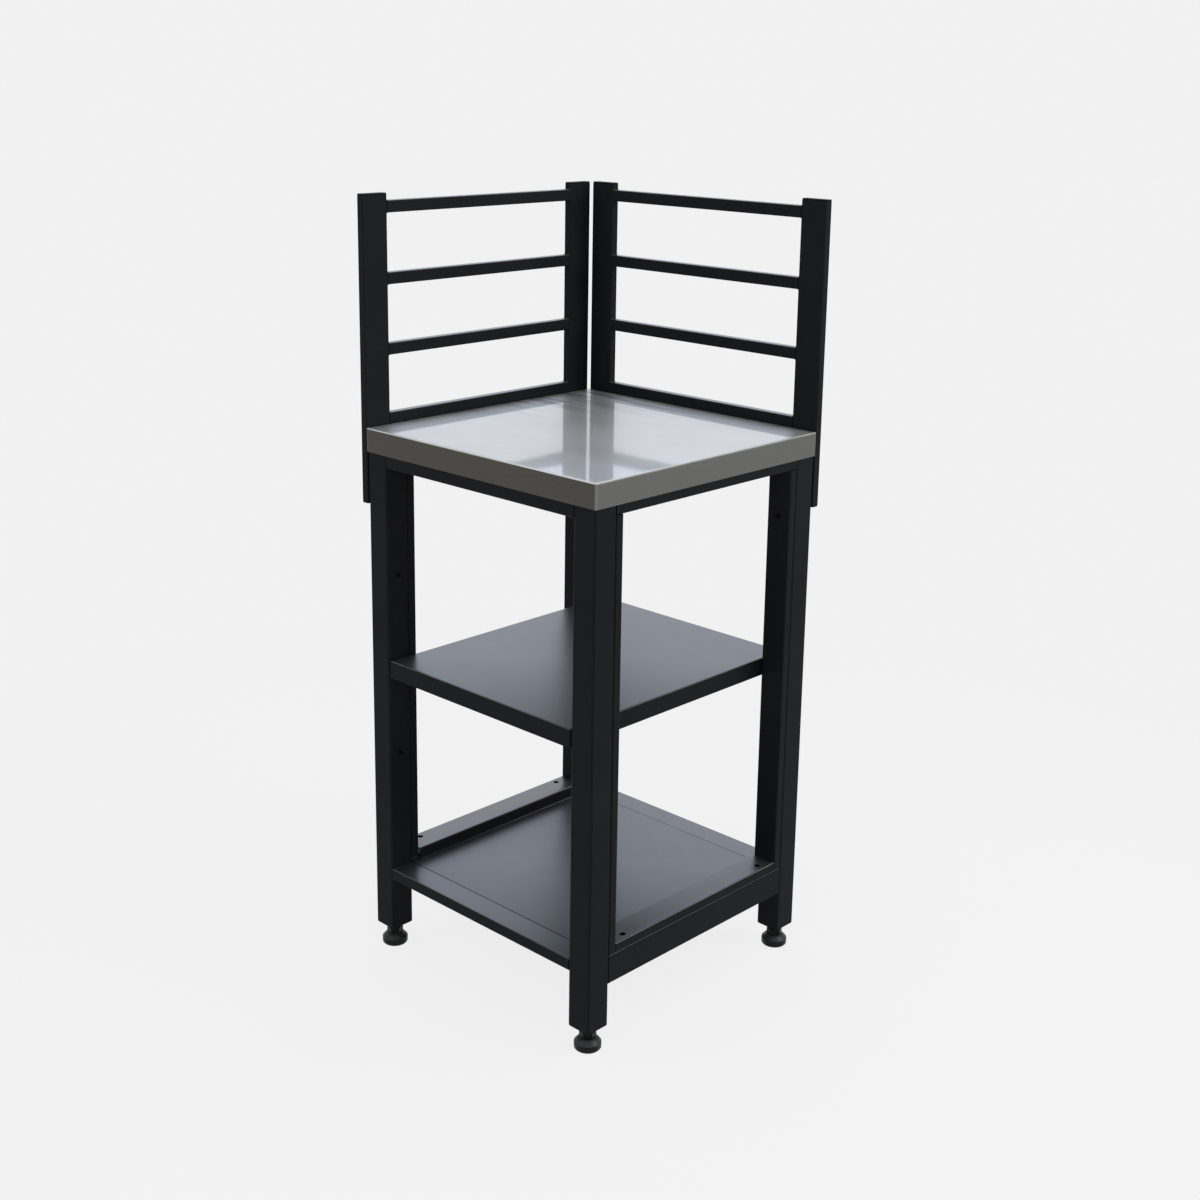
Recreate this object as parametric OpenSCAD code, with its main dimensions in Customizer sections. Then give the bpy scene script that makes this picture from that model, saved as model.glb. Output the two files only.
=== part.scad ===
// Outdoor kitchen module: an open corner unit with four square legs, a folded steel
// worktop, a middle shelf, a bottom tray, two guards of flat bars and levelling feet.
// Front is -Y, right is +X, and the feet stand on Z = 0. The guards close the left and the
// back. X = 0 and Y = 0 lie in the middle of the whole footprint, guards included.

/* [Frame] */
// Width over the outer faces of the legs
frame_w = 520; // [440:1:700]
// Depth over the outer faces of the legs
frame_d = 520; // [440:1:700]
// Side of the square leg tube
leg_side = 45; // [40:1:60]
// Wall of the leg tube
leg_wall = 2; // [1.5:0.1:3]
// Corner radius of the leg tube
leg_round = 4; // [3:0.5:6]
// Thickness of the flat post inside each leg
post_t = 15; // [12:1:25]
// Wall of the flat tubes
flat_wall = 1.5; // [1.2:0.1:2]
// Corner radius of the flat tubes
flat_round = 2.2; // [2.1:0.1:4]

/* [Heights] */
// Underside of the legs above the floor
leg_base_z = 38; // [34:1:60]
// Underside of the lower side rails
lower_rail_z = 110; // [80:1:200]
// Height of the lower side rails
lower_rail_h = 50; // [30:1:60]
// Height of the lower cross rails at front and back
cross_rail_h = 20; // [16:1:25]
// Surface of the bottom tray above the floor
tray_z = 154; // [145:1:165]
// Height of the upper rails at front and back
upper_rail_h = 45; // [30:1:60]
// Height of the upper rails at the sides
side_rail_h = 40; // [30:1:60]
// Surface of the worktop above the floor
worktop_z = 928; // [850:1:1000]

/* [Worktop] */
// Sheet thickness of the worktop, the shelf and the tray
sheet_t = 1.5; // [1:0.1:2]
// Inner radius of every sheet bend
bend_r = 1.5; // [1:0.1:3]
// Height of the worktop's folded edge
worktop_lip = 40; // [25:1:60]
// Distance from the legs to the outside of the folded edge
worktop_over = 2; // [1.8:0.1:2.4]
// Thickness of the board under the worktop sheet
core_t = 15; // [10:1:25]

/* [Shelf] */
// Height of the shelf's folded edge
shelf_lip = 30; // [20:1:40]
// Gap between the shelf and the legs beside it
shelf_gap = 2.5; // [2:0.1:4]
// Height of the lowest shelf hole
shelf_hole_z = 365; // [300:1:400]
// Distance from one shelf hole to the next
shelf_pitch = 158; // [100:1:180]
// Height of the shelf bolts above the lower end of the folded edge
shelf_bolt_up = 17; // [12:0.5:20]

/* [Tray] */
// Height of the tray's side walls above its floor
tray_wall_h = 21; // [15:1:40]
// Diameter of the holes in the tray's flanges
tray_hole_d = 10; // [6:0.5:12]
// Distance of these holes from the outside of the frame
tray_hole_in = 14; // [10:0.5:20]
// Distance of these holes from the ends of the flange
tray_hole_end = 30; // [20:1:60]

/* [Guards] */
// Width of a guard upright
upright_w = 50; // [45:1:60]
// Thickness of a guard upright and its bars
guard_t = 15; // [12:1:25]
// Gap between the legs and a guard
guard_gap = 3; // [2.8:0.1:5]
// Height of a guard bar
bar_h = 20; // [15:1:30]
// Distance from one guard bar to the next
bar_pitch = 116; // [80:0.5:130]
// Number of bars in a guard
bar_count = 4; // [2:1:4]
// Height of the worktop above the lowest bar's underside
bar_drop = 1.5; // [0.5:0.1:5]
// Height of the uprights above the highest bar
upright_over = 12; // [5:1:40]
// Length of the uprights below the worktop's folded edge
upright_under = 89; // [70:1:150]
// Thickness of the end caps' visible plate
cap_t = 3; // [2:0.5:5]

/* [Feet] */
// Largest diameter of the foot
foot_d = 44; // [38:1:50]
// Height of the foot below its hub
foot_h = 18; // [15:0.5:22]
// Diameter of the foot's hub
hub_d = 28; // [24:1:30]
// Height of the hub above the foot
hub_h = 1; // [0.5:0.5:4]
// Diameter of the foot's threaded stud
stud_d = 16; // [12:1:16]
// Length of stud inside the leg
stud_in = 46; // [40:1:80]
// Distance across the flats of the stud's hexagon
hex_flats = 24; // [22:1:26]
// Height of the stud's hexagon
hex_h = 12; // [8:0.5:16]

/* [Fasteners] */
// Diameter of the guard bolts
guard_bolt_d = 8; // [6:1:10]
// Height of the lower guard bolt above the end of the upright
guard_bolt_up = 25; // [20:1:35]
// Distance between the two bolts of an upright
guard_bolt_gap = 40; // [30:1:45]
// Diameter of the shelf bolts and of the free threads
shelf_bolt_d = 6; // [5:1:8]
// Height of the free thread in each post
post_hole_z = 791; // [700:1:840]

/* [Hidden] */
$fn = 32;

// Clearances
touch = 0.3;          // between a part and a hole it passes through
slip = 0.06;          // radial, in a thread or a turning seat
snug = 0.2;           // round a plug pushed into a tube
cut = 1;              // how far a cutting tool runs past a face

// Bolts, in bolt diameters
head_r_share = 0.875;               // radius of the head
head_high = 0.55;                   // height of the head
socket_r_share = 0.36;              // radius of the hexagon socket
socket_floor = 0.22;                // height of the socket's floor
bolt_in_leg = 12;                   // length of guard bolt inside the leg, in mm
bolt_in_shelf = 10;                 // length of shelf bolt past the spacer, in mm

// Plan
half_w = frame_w / 2;
half_d = frame_d / 2;
outside = guard_gap + guard_t + head_high * guard_bolt_d;   // how far a guard stands out
off_centre = (outside - worktop_over) / 2;
leg_x = half_w - leg_side / 2;      // centre of a leg
leg_y = half_d - leg_side / 2;
bay_x = half_w - leg_side;          // inner face of a leg
bay_y = half_d - leg_side;
post_y = bay_y - post_t;            // inner face of a post

// Levels
rail_top = worktop_z - sheet_t - core_t;
lip_z = worktop_z - worktop_lip;
lower_rail_top = lower_rail_z + lower_rail_h;
side_rail_z = rail_top - side_rail_h;
shelf_bolt_z = shelf_hole_z + shelf_pitch;
shelf_z = shelf_bolt_z - shelf_bolt_up + shelf_lip;
flange_z = tray_z + tray_wall_h;
bar_z = worktop_z - bar_drop;
upright_top = bar_z + (bar_count - 1) * bar_pitch + bar_h + upright_over;
upright_z = lip_z - upright_under;
guard_bolts_z = [upright_z + guard_bolt_up, upright_z + guard_bolt_up + guard_bolt_gap];
shelf_holes_z = [shelf_hole_z, shelf_bolt_z, shelf_hole_z + 2 * shelf_pitch];

// Guards
guard_x = half_w + guard_gap;       // inner face of the side guard
guard_y = half_d + guard_gap;       // inner face of the back guard

// Plugs
plug_flange = 4;                    // thickness of the flange under the leg
plug_depth = 18;                    // depth of the plug inside the leg
plug_boss = 28;                     // diameter of the boss round the thread
plug_web = 3;                       // thickness of the plug's walls and ribs
cap_depth = 10;                     // depth of an end cap inside the upright
cap_wall = 1.2;                     // thickness of its wall there
cap_round = 1.5;                    // corner radius there

// Inserts
insert_flange = 1;                  // thickness of the flange
insert_rim = 1.5;                   // how far the flange reaches past the barrel
insert_len = 14;                    // length of the barrel in a leg
insert_wall = 1.5;                  // wall of the barrel

// Feet
foot_seat = 6;                      // floor of the stud's socket in the foot
heel = 2;                           // rounding at the floor
shoulder = 7;                       // rounding above the side
chamfer = 0.6;                      // height of the hexagon's bevels, in parts of their width

black = [0.13, 0.14, 0.15];
plastic = [0.09, 0.09, 0.1];
steel = [0.78, 0.79, 0.8];
zinc = [0.62, 0.63, 0.65];
board = [0.55, 0.42, 0.28];

// Moves what is laid out about the middle of the legs to the middle of the footprint
module placed() {
    translate([off_centre, -off_centre, 0]) children();
}

module rounded(w, d, r) {
    square([w - 2 * r, d], center = true);
    square([w, d - 2 * r], center = true);
    for (x = [-1, 1], y = [-1, 1])
        translate([x * (w / 2 - r), y * (d / 2 - r)]) circle(r);
}

module tube_section(w, d, wall, r) {
    difference() {
        rounded(w, d, r);
        rounded(w - 2 * wall, d - 2 * wall, r - wall);
    }
}

// Upright tube, centred in plan, from z = 0
module tube(w, d, length, wall, r) {
    linear_extrude(length) tube_section(w, d, wall, r);
}

// Tube along X, centred on its length: d is its depth along Y and h its height from z = 0
module tube_x(length, d, h, wall, r) {
    translate([-length / 2, 0, h / 2]) rotate([90, 0, 90])
        linear_extrude(length) tube_section(d, h, wall, r);
}

// Tube along Y, with w along X
module tube_y(length, w, h, wall, r) {
    rotate([0, 0, 90]) tube_x(length, w, h, wall, r);
}

// Turns what points up so that it points along dir, which is level
module facing(dir) {
    rotate(dir[0] != 0 ? [0, 90 * dir[0], 0] : [-90 * dir[1], 0, 0]) children();
}

// Cutter whose axis points along dir, starting at the origin
module rod(dir, r, length) {
    facing(dir) cylinder(r = r, h = length);
}

module ring(dir, r_out, r_in, length) {
    facing(dir) difference() {
        cylinder(r = r_out, h = length);
        translate([0, 0, -cut]) cylinder(r = r_in, h = length + 2 * cut);
    }
}

// Domed bolt head with a hexagon socket, seated on z = 0 and pointing up
module bolt_head(d) {
    head_r = head_r_share * d;
    head_h = head_high * d;
    dome_r = (head_r * head_r + head_h * head_h) / (2 * head_h);
    difference() {
        intersection() {
            cylinder(r = head_r, h = head_h);
            translate([0, 0, head_h - dome_r]) sphere(dome_r);
        }
        translate([0, 0, socket_floor * d]) cylinder(r = socket_r_share * d, h = head_h, $fn = 6);
    }
}

// Bolt along dir: the head lies outside the origin, the shank runs inwards against dir
module bolt(dir, d, shank) {
    facing(dir) {
        bolt_head(d);
        translate([0, 0, -shank]) cylinder(d = d, h = shank);
    }
}

// Threaded insert: its flange lies outside the origin and its barrel runs inwards
module insert(dir, d, length) {
    barrel_r = d / 2 + insert_wall;
    facing(dir) difference() {
        union() {
            cylinder(r = barrel_r + insert_rim, h = insert_flange);
            translate([0, 0, -length]) cylinder(r = barrel_r, h = length);
        }
        translate([0, 0, -length - cut])
            cylinder(r = d / 2 + slip, h = length + insert_flange + 2 * cut);
    }
}

function insert_hole(d) = d / 2 + insert_wall + touch / 2;

// Folded pan, open below: top face at z = 0, lips down on all four sides
module pan(w, d, lip, corner) {
    module block(w, d, h, bend, corner) {
        intersection() {
            translate([0, d / 2 + cut, 0]) rotate([90, 0, 0])
                linear_extrude(d + 2 * cut) arch(w, h, bend);
            translate([-w / 2 - cut, 0, 0]) rotate([90, 0, 90])
                linear_extrude(w + 2 * cut) arch(d, h, bend);
            translate([0, 0, -h]) linear_extrude(h) rounded(w, d, corner);
        }
    }
    module arch(w, h, r) {
        translate([-w / 2, -h]) square([w, h - r]);
        translate([-w / 2 + r, -h]) square([w - 2 * r, h]);
        for (x = [-1, 1]) translate([x * (w / 2 - r), -r]) circle(r);
    }
    difference() {
        block(w, d, lip, bend_r + sheet_t, corner);
        translate([0, 0, -sheet_t])
            block(w - 2 * sheet_t, d - 2 * sheet_t, lip, bend_r, corner - sheet_t);
    }
}

// Leg: sx and sy say which corner it stands at
module leg(sx, sy, guard_dirs) {
    placed() color(black) translate([sx * leg_x, sy * leg_y, 0]) difference() {
        translate([0, 0, leg_base_z + plug_flange])
            tube(leg_side, leg_side, rail_top - leg_base_z - plug_flange, leg_wall, leg_round);
        for (z = shelf_holes_z) translate([-sx * leg_side / 2, 0, z])
            translate([-sx * cut, 0, 0]) rod([sx, 0], insert_hole(shelf_bolt_d), leg_wall + 2 * cut);
        for (dir = guard_dirs, z = guard_bolts_z)
            translate([dir[0], dir[1], 0] * (leg_side / 2 + cut) + [0, 0, z])
                rod(-dir, insert_hole(guard_bolt_d), leg_wall + 2 * cut);
    }
}

module leg_front_left() { leg(-1, -1, [[-1, 0]]); }
module leg_front_right() { leg(1, -1, []); }
module leg_back_right() { leg(1, 1, [[0, 1]]); }
module leg_back_left() { leg(-1, 1, [[-1, 0], [0, 1]]); }

// Flat post that stands on the lower side rail against the leg
module post(sx, sy) {
    placed() color(black) translate([sx * leg_x, sy * (bay_y - post_t / 2), lower_rail_top]) difference() {
        tube(leg_side, post_t, side_rail_z - lower_rail_top, flat_wall, flat_round);
        translate([0, -sy * (post_t / 2 + cut), post_hole_z - lower_rail_top])
            rod([0, sy], insert_hole(shelf_bolt_d), flat_wall + 2 * cut);
    }
}

module post_front_left() { post(-1, -1); }
module post_front_right() { post(1, -1); }
module post_back_right() { post(1, 1); }
module post_back_left() { post(-1, 1); }

module lower_rail(sx) {
    placed() color(black) translate([sx * leg_x, 0, lower_rail_z])
        tube_y(2 * bay_y, leg_side, lower_rail_h, leg_wall, leg_round);
}

module lower_rail_left() { lower_rail(-1); }
module lower_rail_right() { lower_rail(1); }

module lower_cross(sy) {
    placed() color(black) translate([0, sy * leg_y, tray_z - cross_rail_h])
        tube_x(2 * bay_x, leg_side, cross_rail_h, flat_wall, flat_round);
}

module lower_cross_front() { lower_cross(-1); }
module lower_cross_back() { lower_cross(1); }

module upper_cross(sy) {
    placed() color(black) translate([0, sy * leg_y, rail_top - upper_rail_h])
        tube_x(2 * bay_x, leg_side, upper_rail_h, leg_wall, leg_round);
}

module upper_rail_front() { upper_cross(-1); }
module upper_rail_back() { upper_cross(1); }

module upper_side(sx) {
    placed() color(black) translate([sx * leg_x, 0, side_rail_z])
        tube_y(2 * bay_y, leg_side, side_rail_h, leg_wall, leg_round);
}

module upper_rail_left() { upper_side(-1); }
module upper_rail_right() { upper_side(1); }

module worktop_sheet() {
    placed() color(steel) translate([0, 0, worktop_z])
        pan(frame_w + 2 * worktop_over, frame_d + 2 * worktop_over, worktop_lip, bend_r + sheet_t);
}

module worktop_board() {
    edge = worktop_over - sheet_t - bend_r - touch / 2;
    placed() color(board) translate([-half_w - edge, -half_d - edge, rail_top])
        cube([frame_w + 2 * edge, frame_d + 2 * edge, core_t]);
}

module middle_shelf() {
    placed() color(black) difference() {
        translate([0, 0, shelf_z])
            pan(2 * (bay_x - shelf_gap), frame_d, shelf_lip, bend_r + sheet_t);
        for (x = [-1, 1], y = [-1, 1])
            translate([x * (bay_x - shelf_gap + cut), y * leg_y, shelf_bolt_z])
                rod([-x, 0], shelf_bolt_d / 2 + touch, sheet_t + 2 * cut);
    }
}

// Section of one half of the tray, x from the middle outwards, y upwards
module tray_section() {
    out_r = bend_r + sheet_t;
    wall_x = bay_x - shelf_gap;             // outer face of the side wall
    lip_x = half_w;                         // outer face of the flange's lip
    // floor, side wall, flange and lip
    translate([0, tray_z - sheet_t]) square([wall_x - out_r, sheet_t]);
    translate([wall_x - sheet_t, tray_z - sheet_t + out_r])
        square([sheet_t, flange_z - tray_z + sheet_t - 2 * out_r]);
    translate([wall_x - sheet_t + out_r, flange_z - sheet_t])
        square([lip_x - wall_x + sheet_t - 2 * out_r, sheet_t]);
    translate([lip_x - sheet_t, lower_rail_top]) square([sheet_t, flange_z - out_r - lower_rail_top]);
    // bends, each a quarter ring
    bend([wall_x - out_r, tray_z - sheet_t + out_r], [1, -1]);
    bend([wall_x - sheet_t + out_r, flange_z - out_r], [-1, 1]);
    bend([lip_x - out_r, flange_z - out_r], [1, 1]);
}

module bend(centre, side) {
    out_r = bend_r + sheet_t;
    translate(centre) intersection() {
        difference() {
            circle(out_r);
            circle(bend_r);
        }
        translate([side[0] > 0 ? 0 : -out_r, side[1] > 0 ? 0 : -out_r]) square(out_r);
    }
}

module bottom_tray() {
    end_y = post_y - touch;                 // where walls and flanges end, short of the posts
    wall_x = bay_x - shelf_gap;
    placed() color(black) difference() {
        union() {
            for (s = [0, 1]) mirror([s, 0, 0]) translate([0, end_y, 0]) rotate([90, 0, 0])
                linear_extrude(2 * end_y) tray_section();
            translate([-wall_x, -bay_y, tray_z - sheet_t]) intersection() {
                cube([2 * wall_x, 2 * bay_y, sheet_t]);
                difference() {
                    cube([2 * wall_x, 2 * bay_y, sheet_t]);
                    translate([-cut, bay_y - end_y, -cut])
                        cube([2 * wall_x + 2 * cut, 2 * end_y, sheet_t + 2 * cut]);
                }
            }
        }
        for (x = [-1, 1], y = [-1, 1])
            translate([x * (half_w - tray_hole_in), y * (end_y - tray_hole_end), flange_z - sheet_t - cut])
                cylinder(d = tray_hole_d, h = sheet_t + 2 * cut);
    }
}

// Place in the side guard: x points out of the frame, y along the guard
module side_guard() {
    placed() translate([-guard_x, 0, 0]) mirror([1, 0, 0]) children();
}

module back_guard() {
    placed() translate([0, guard_y, 0]) rotate([0, 0, 90]) children();
}

// Upright of a guard that is 2 * half long; s is the end it stands at, bolt_at the leg's middle
module upright(half, s, bolt_at) {
    color(black) difference() {
        translate([guard_t / 2, s * (half - upright_w / 2), upright_z + cap_t])
            tube(guard_t, upright_w, upright_top - upright_z - 2 * cap_t, flat_wall, flat_round);
        for (z = guard_bolts_z) translate([-cut, s * bolt_at, z])
            rod([1, 0], guard_bolt_d / 2 + touch, guard_t + 2 * cut);
    }
}

module bar(half, i) {
    color(black) translate([guard_t / 2, 0, bar_z + (i - 1) * bar_pitch])
        tube_y(2 * (half - upright_w), guard_t, bar_h, flat_wall, flat_round);
}

// Plate and plug in both ends of both uprights
module guard_caps(half) {
    inset = 2 * (flat_wall + snug);
    color(plastic) for (s = [-1, 1], up = [0, 1])
        translate([guard_t / 2, s * (half - upright_w / 2), up * upright_top + (1 - up) * upright_z])
            mirror([0, 0, up]) {
                linear_extrude(cap_t) rounded(guard_t - 2 * snug, upright_w - 2 * snug, flat_round);
                translate([0, 0, cap_t]) linear_extrude(cap_depth)
                    tube_section(guard_t - inset, upright_w - inset, cap_wall, cap_round);
            }
}

module side_upright_front() { side_guard() upright(half_d, -1, leg_y); }
module side_upright_back() { side_guard() upright(half_d, 1, leg_y); }
module back_upright_left() { back_guard() upright(half_w, 1, leg_x); }
module back_upright_right() { back_guard() upright(half_w, -1, leg_x); }
module side_bar_1() { side_guard() bar(half_d, 1); }
module side_bar_2() { side_guard() bar(half_d, 2); }
module side_bar_3() { side_guard() bar(half_d, 3); }
module side_bar_4() { side_guard() bar(half_d, 4); }
module back_bar_1() { back_guard() bar(half_w, 1); }
module back_bar_2() { back_guard() bar(half_w, 2); }
module back_bar_3() { back_guard() bar(half_w, 3); }
module back_bar_4() { back_guard() bar(half_w, 4); }
module side_guard_caps() { side_guard() guard_caps(half_d); }
module back_guard_caps() { back_guard() guard_caps(half_w); }

// Every place where a guard is bolted to a leg: [direction, point on the leg's face]
function guard_places() = concat(
    [for (y = [-1, 1], z = guard_bolts_z) [[-1, 0], [-half_w, y * leg_y, z]]],
    [for (x = [-1, 1], z = guard_bolts_z) [[0, 1], [x * leg_x, half_d, z]]]);

module guard_bolts() {
    placed() color(zinc) for (p = guard_places()) translate(p[1])
        translate([p[0][0], p[0][1], 0] * (guard_gap + guard_t))
            bolt(p[0], guard_bolt_d, guard_t + guard_gap + bolt_in_leg);
}

module guard_washers() {
    placed() color(zinc) for (p = guard_places()) translate(p[1])
        translate([p[0][0], p[0][1], 0] * insert_flange)
            ring(p[0], guard_bolt_d, guard_bolt_d / 2 + touch, guard_gap - insert_flange);
}

module guard_inserts() {
    placed() color(zinc) for (p = guard_places()) translate(p[1])
        insert(p[0], guard_bolt_d, insert_len);
}

module shelf_bolts() {
    placed() color(zinc) for (x = [-1, 1], y = [-1, 1])
        translate([x * (bay_x - shelf_gap - sheet_t), y * leg_y, shelf_bolt_z])
            bolt([-x, 0], shelf_bolt_d, sheet_t + shelf_gap + bolt_in_shelf);
}

module shelf_washers() {
    placed() color(zinc) for (x = [-1, 1], y = [-1, 1])
        translate([x * (bay_x - shelf_gap), y * leg_y, shelf_bolt_z])
            ring([x, 0], shelf_bolt_d, shelf_bolt_d / 2 + touch, shelf_gap - insert_flange);
}

module shelf_inserts() {
    placed() color(zinc) for (x = [-1, 1], y = [-1, 1], z = shelf_holes_z)
        translate([x * bay_x, y * leg_y, z]) insert([-x, 0], shelf_bolt_d, insert_len);
}

module post_inserts() {
    placed() color(zinc) for (x = [-1, 1], y = [-1, 1])
        translate([x * leg_x, y * post_y, post_hole_z])
            insert([0, -y], shelf_bolt_d, post_t - 2 * flat_wall);
}

// Plug in the lower end of a leg, with the thread for its foot
module plug(sx, sy) {
    inner = leg_side - 2 * leg_wall - 2 * snug;
    placed() color(plastic) translate([sx * leg_x, sy * leg_y, leg_base_z]) difference() {
        union() {
            linear_extrude(plug_flange) rounded(leg_side, leg_side, leg_round);
            translate([0, 0, plug_flange]) linear_extrude(plug_depth) difference() {
                rounded(inner, inner, leg_round - leg_wall);
                square(inner - 2 * plug_web, center = true);
            }
            translate([0, 0, plug_flange]) cylinder(d = plug_boss, h = plug_depth);
            for (a = [0, 90]) rotate([0, 0, a])
                translate([-(inner - plug_web) / 2, -plug_web / 2, plug_flange])
                    cube([inner - plug_web, plug_web, plug_depth]);
        }
        translate([0, 0, -cut]) cylinder(d = stud_d + 2 * slip, h = plug_flange + plug_depth + 2 * cut);
    }
}

module plug_front_left() { plug(-1, -1); }
module plug_front_right() { plug(1, -1); }
module plug_back_right() { plug(1, 1); }
module plug_back_left() { plug(-1, 1); }

// Hexagon with its corners turned off at both ends, from z = 0
module hexagon() {
    corner_r = hex_flats / sqrt(3);
    bevel = corner_r - hex_flats / 2;
    rise = bevel * chamfer;
    intersection() {
        cylinder(r = corner_r, h = hex_h, $fn = 6);
        rotate_extrude() polygon([
            [0, 0], [corner_r - bevel, 0], [corner_r, rise],
            [corner_r, hex_h - rise], [corner_r - bevel, hex_h], [0, hex_h]]);
    }
}

// Threaded stud, from its seat in the foot up into the leg, with the hexagon that turns it
module stud(sx, sy, turn) {
    placed() color(zinc) translate([sx * leg_x, sy * leg_y, 0]) {
        translate([0, 0, foot_seat + touch])
            cylinder(d = stud_d, h = leg_base_z + stud_in - foot_seat - touch);
        translate([0, 0, foot_h + hub_h + touch]) rotate(turn) hexagon();
    }
}

module stud_front_left() { stud(-1, -1, 20); }
module stud_front_right() { stud(1, -1, 14); }
module stud_back_right() { stud(1, 1, 23); }
module stud_back_left() { stud(-1, 1, 0); }

// Round foot: bevelled base, full side, rounded shoulder and a short hub
module foot(sx, sy) {
    side_r = foot_d / 2;
    placed() color(plastic) translate([sx * leg_x, sy * leg_y, 0]) difference() {
        rotate_extrude() {
            square([side_r - heel, heel]);
            translate([0, heel]) square([side_r, foot_h - heel - shoulder]);
            square([side_r - shoulder, foot_h]);
            square([hub_d / 2, foot_h + hub_h]);
            intersection() {
                translate([side_r - heel, heel]) circle(heel);
                square([side_r, heel + shoulder]);
            }
            intersection() {
                translate([side_r - shoulder, foot_h - shoulder]) circle(shoulder);
                square([side_r, foot_h]);
            }
        }
        translate([0, 0, foot_seat]) cylinder(d = stud_d + 2 * slip, h = foot_h + hub_h);
    }
}

module foot_front_left() { foot(-1, -1); }
module foot_front_right() { foot(1, -1); }
module foot_back_right() { foot(1, 1); }
module foot_back_left() { foot(-1, 1); }

leg_front_left();
leg_front_right();
leg_back_right();
leg_back_left();
post_front_left();
post_front_right();
post_back_right();
post_back_left();
lower_rail_left();
lower_rail_right();
lower_cross_front();
lower_cross_back();
upper_rail_front();
upper_rail_back();
upper_rail_left();
upper_rail_right();
worktop_sheet();
worktop_board();
middle_shelf();
bottom_tray();
side_upright_front();
side_upright_back();
back_upright_left();
back_upright_right();
side_bar_1();
side_bar_2();
side_bar_3();
side_bar_4();
back_bar_1();
back_bar_2();
back_bar_3();
back_bar_4();
side_guard_caps();
back_guard_caps();
guard_bolts();
guard_washers();
guard_inserts();
shelf_bolts();
shelf_washers();
shelf_inserts();
post_inserts();
plug_front_left();
plug_front_right();
plug_back_right();
plug_back_left();
stud_front_left();
stud_front_right();
stud_back_right();
stud_back_left();
foot_front_left();
foot_front_right();
foot_back_right();
foot_back_left();
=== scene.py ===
"""Outdoor kitchen module, dressed for its picture.

A square-tube stand on four levelling feet carries a stainless worktop, a folded shelf and a folded bottom
tray, with a guard of four bars on its left and on its back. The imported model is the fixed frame. Its solids
keep their shapes and get their finishes here. The plugs, studs and feet are remade with moulded shapes and
a thread, and the guards get their welds.
"""

import logging
import math
from dataclasses import dataclass, field, replace
from enum import Enum

import bmesh
import bpy
from mathutils import Matrix, Vector


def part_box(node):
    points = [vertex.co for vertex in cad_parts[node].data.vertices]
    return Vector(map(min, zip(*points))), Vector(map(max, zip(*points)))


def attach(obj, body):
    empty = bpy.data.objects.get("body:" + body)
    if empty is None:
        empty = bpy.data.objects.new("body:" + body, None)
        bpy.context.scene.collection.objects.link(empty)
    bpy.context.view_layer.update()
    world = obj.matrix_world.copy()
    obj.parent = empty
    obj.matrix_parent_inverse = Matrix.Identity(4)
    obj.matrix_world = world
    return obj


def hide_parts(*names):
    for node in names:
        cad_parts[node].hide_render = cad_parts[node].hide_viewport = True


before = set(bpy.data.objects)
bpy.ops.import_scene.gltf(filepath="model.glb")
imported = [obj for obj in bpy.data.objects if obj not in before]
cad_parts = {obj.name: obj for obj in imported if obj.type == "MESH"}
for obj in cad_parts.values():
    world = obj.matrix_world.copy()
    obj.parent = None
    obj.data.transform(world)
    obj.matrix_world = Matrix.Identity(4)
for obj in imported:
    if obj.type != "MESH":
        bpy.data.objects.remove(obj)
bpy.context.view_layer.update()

Colour = tuple[float, float, float]
Place = tuple[float, float, float]
Range = tuple[float, float]
Socket = bpy.types.NodeSocket
Mesh = bmesh.types.BMesh
Parts = list[bmesh.types.BMVert | bmesh.types.BMEdge | bmesh.types.BMFace]

FRAME_BODY = "frame"
MILLIMETRE = 0.001
MERGE_DISTANCE = 0.004 * MILLIMETRE
THREAD_MERGE_DISTANCE = 0.01 * MILLIMETRE
FLOOR_DISTANCE = 0.1 * MILLIMETRE
ORIGIN = (0.0, 0.0, 0.0)
UP = (0.0, 0.0, 1.0)
WHITE = (1.0, 1.0, 1.0)
EVEN = (1.0, 1.0, 1.0)
FULL = (0.0, 1.0)
FALLING = (1.0, 0.0)
ROUND_PROFILE = 0.5
UNIT_HALF = 0.5
MOSTLY_UP = 0.9
MOSTLY_SIDEWAYS = 0.5
# The Mix node's sockets for colours
MIX_FIRST = 6
MIX_SECOND = 7
MIX_RESULT = 2
log = logging.getLogger("outdoor_kitchen")


class Corner(Enum):
    """The four corners of the stand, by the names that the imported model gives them."""

    FRONT_LEFT = "front_left"
    FRONT_RIGHT = "front_right"
    BACK_RIGHT = "back_right"
    BACK_LEFT = "back_left"


class Side(Enum):
    """The two sides of the worktop that carry a guard."""

    LEFT = "side"
    BACK = "back"


# Degrees that each stud's hexagon is turned at rest
STUD_TURNS = {
    Corner.FRONT_LEFT: 20.0,
    Corner.FRONT_RIGHT: 14.0,
    Corner.BACK_RIGHT: 23.0,
    Corner.BACK_LEFT: 0.0,
}


@dataclass(frozen=True)
class Pattern:
    """A soft noise pattern on object coordinates."""

    size: float  # width of its cells
    detail: float  # finer layers
    used: Range = FULL  # the part of its values that patches() spreads over its result
    stretch: Place = EVEN  # factor on each axis; a small one draws the pattern out
    layering: float = 0.5  # strength of the finer layers


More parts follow.
